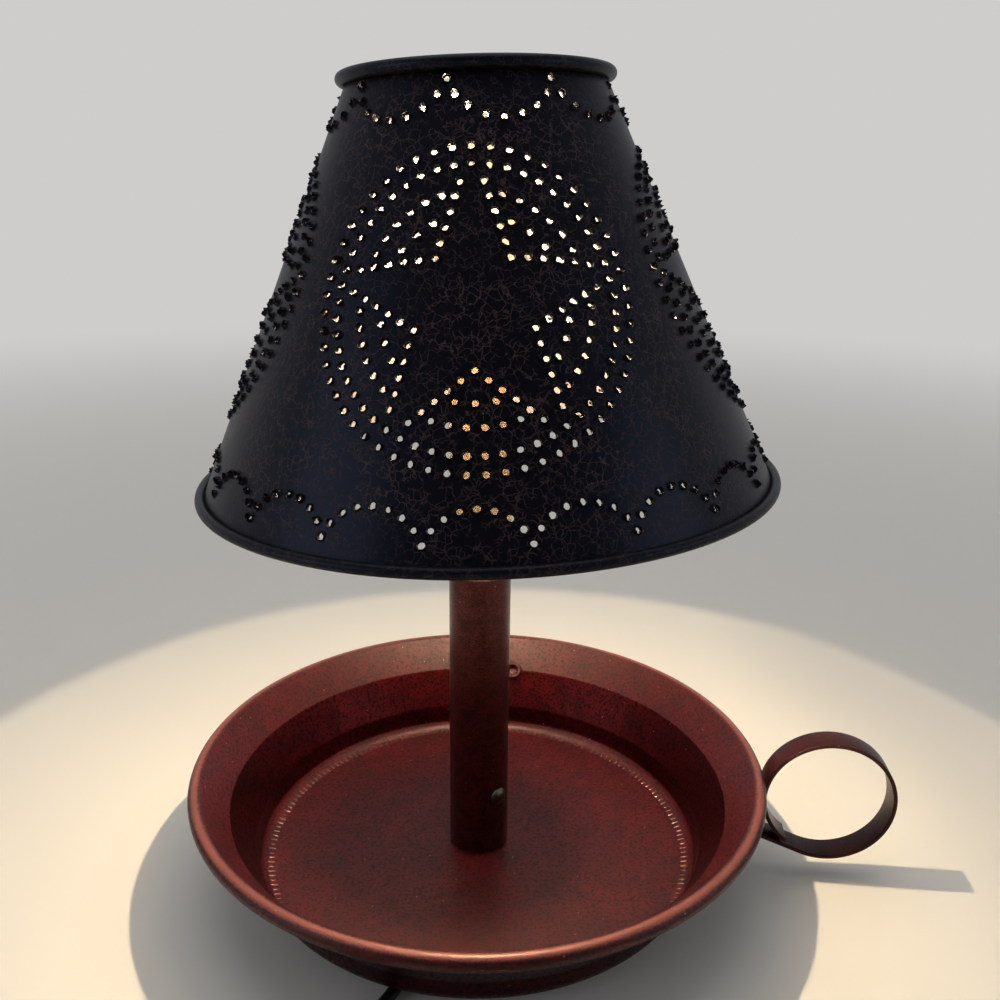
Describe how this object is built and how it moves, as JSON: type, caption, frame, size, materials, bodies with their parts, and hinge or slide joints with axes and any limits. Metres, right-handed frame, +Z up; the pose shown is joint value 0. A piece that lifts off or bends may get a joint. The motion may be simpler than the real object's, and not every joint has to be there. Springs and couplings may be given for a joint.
{
  "type": "electric chamberstick lamp",
  "caption": "Electric chamberstick: a rolled-lip tray with a strap ring handle carries a candle tube, a bulb and a punched tin cone shade on a wire bulb clip.",
  "frame": {"origin": "on the table, under the middle of the lamp without its cord", "axes": "+Z up along the candle tube, +X towards the ring handle, +Y towards the back, where the wall has its eyelet"},
  "size_m": [0.2616, 0.3097, 0.2851],
  "materials": {
    "tray_paint": "burgundy enamel over tin, satin, with fine dark speckle",
    "tube_paint": "burgundy brown enamel, lightly mottled",
    "strap_paint": "burgundy enamel over steel strap, satin",
    "shade_paint": "black crackle over red-brown, semi-gloss",
    "steel": "plated, slightly dull",
    "brass": "plain",
    "phenolic": "dark moulded phenolic",
    "switch_plastic": "black, satin",
    "rubber": "matt",
    "vinyl": "black vinyl cord, satin",
    "bulb_glass": "clear, lit from inside",
    "filament": "glowing"
  },
  "bodies": {
    "base": {"tray": "tray_paint", "wall_eyelet": "tray_paint", "foot_pad_1": "rubber", "foot_pad_2": "rubber", "foot_pad_3": "rubber", "foot_pad_4": "rubber", "handle_ring": "strap_paint", "tube_post": "steel", "cord_bushing": "phenolic", "candle_tube": "tube_paint", "tube_screw": "tube_paint", "riser_pipe": "steel", "pipe_locknut": "brass", "socket_cup": "steel", "socket_body": "phenolic", "socket_shell": "brass", "socket_contact": "brass", "lead_line": "vinyl", "lead_neutral": "vinyl", "cord_to_switch": "vinyl", "cord_to_coil": "vinyl", "cord_coil": "vinyl", "cord_to_plug": "vinyl", "switch_shell_bottom": "switch_plastic", "switch_shell_top": "switch_plastic", "switch_screw": "brass", "plug_body": "switch_plastic", "plug_blade_line": "brass", "plug_blade_neutral": "brass"},
    "bulb": {"bulb_glass": "bulb_glass", "bulb_cap": "brass", "bulb_insulator": "phenolic", "bulb_contact": "steel", "bulb_stem": "bulb_glass", "filament_lead_1": "steel", "filament_lead_2": "steel", "filament": "filament"},
    "clip": {"clip_saddle": "steel", "clip_loop_left": "steel", "clip_loop_right": "steel"},
    "lampshade": {"shade": "shade_paint", "shade_crossbar": "steel", "pivot_pin": "steel"},
    "thumbwheel": {"switch_wheel": "switch_plastic"}
  },
  "joints": [
    {"name": "bulb_turn", "type": "hinge", "parent": "base", "child": "bulb", "pos_m": [-0.02414, 0, 0.186], "axis": [0, 0, 1], "range_deg": [0, 1260]},
    {"name": "clip_lift", "type": "slide", "parent": "bulb", "child": "clip", "axis": [0, 0, 1], "range_m": [0, 0.135]},
    {"name": "shade_tilt", "type": "hinge", "parent": "clip", "child": "lampshade", "pos_m": [-0.02608, 0, 0.2775], "axis": [0, 1, 0], "range_deg": [-12, 14]},
    {"name": "switch_turn", "type": "hinge", "parent": "base", "child": "thumbwheel", "pos_m": [-0.07811, -0.13023, 0.007], "axis": [0, 0, 1], "continuous": true}
  ]
}
